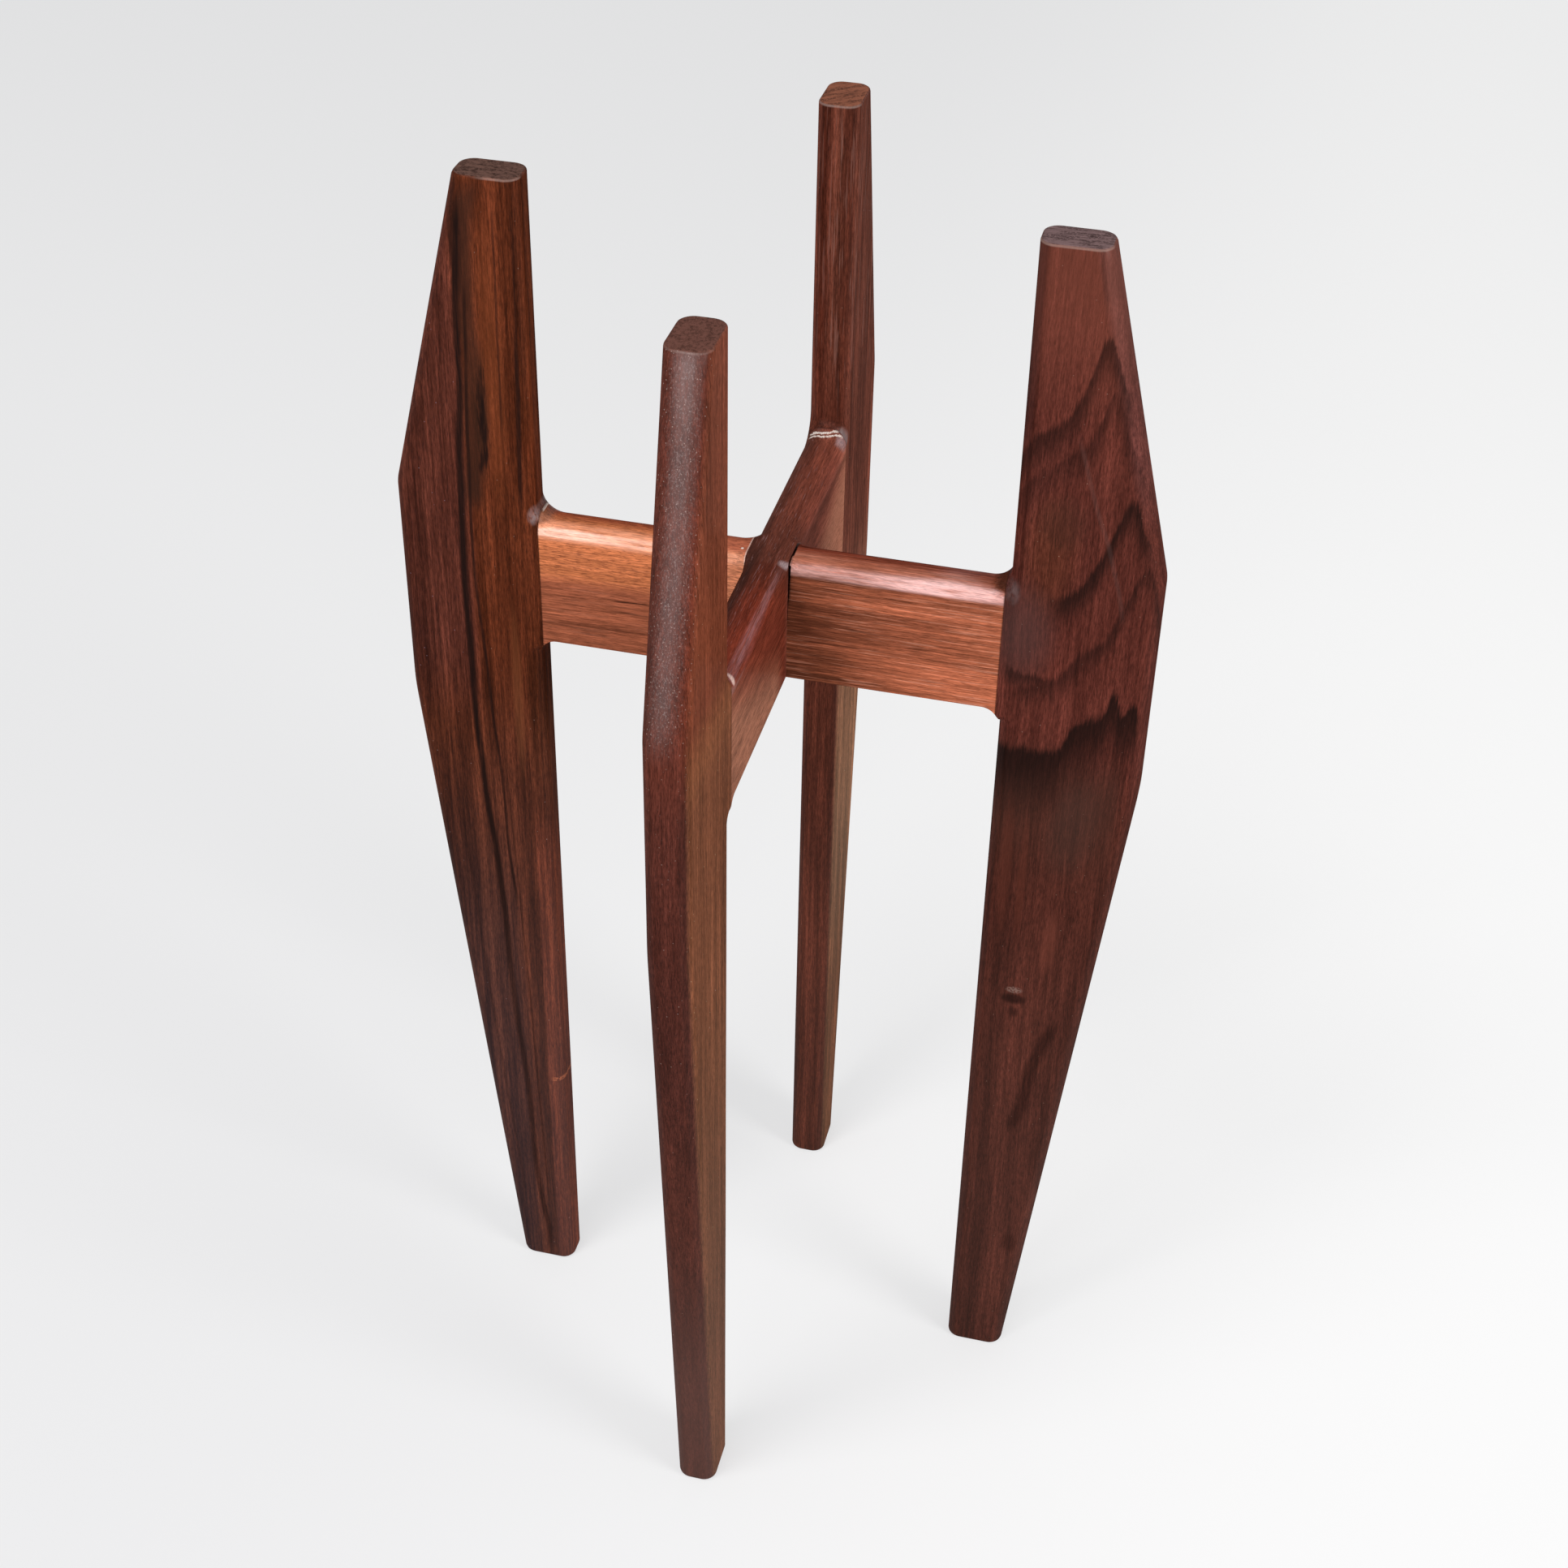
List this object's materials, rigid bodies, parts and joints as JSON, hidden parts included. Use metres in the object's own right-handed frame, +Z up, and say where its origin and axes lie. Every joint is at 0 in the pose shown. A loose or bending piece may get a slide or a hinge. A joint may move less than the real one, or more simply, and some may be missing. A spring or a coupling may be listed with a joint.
{
  "type": "plant stand",
  "caption": "Tall wooden plant stand: tapered, kneed legs joined by a half-lapped cross of rails that carries the pot between their upper ends.",
  "frame": {"origin": "on the floor, under the middle of the cross of rails", "axes": "+Z up, +X towards the right leg, +Y towards the back leg"},
  "size_m": [0.34, 0.34, 0.63],
  "materials": {
    "leg_wood": "oiled dark red-brown hardwood, satin sheen",
    "rail_wood": "oiled orange-brown hardwood, satin sheen",
    "dowel_wood": "bare pale hardwood"
  },
  "bodies": {
    "root": {"leg_right": "leg_wood", "leg_back": "leg_wood", "leg_left": "leg_wood", "leg_front": "leg_wood", "rail_left_right": "rail_wood", "rail_front_back": "rail_wood", "dowel_right_upper": "dowel_wood", "dowel_right_lower": "dowel_wood", "dowel_back_upper": "dowel_wood", "dowel_back_lower": "dowel_wood", "dowel_left_upper": "dowel_wood", "dowel_left_lower": "dowel_wood", "dowel_front_upper": "dowel_wood", "dowel_front_lower": "dowel_wood"}
  },
  "joints": []
}
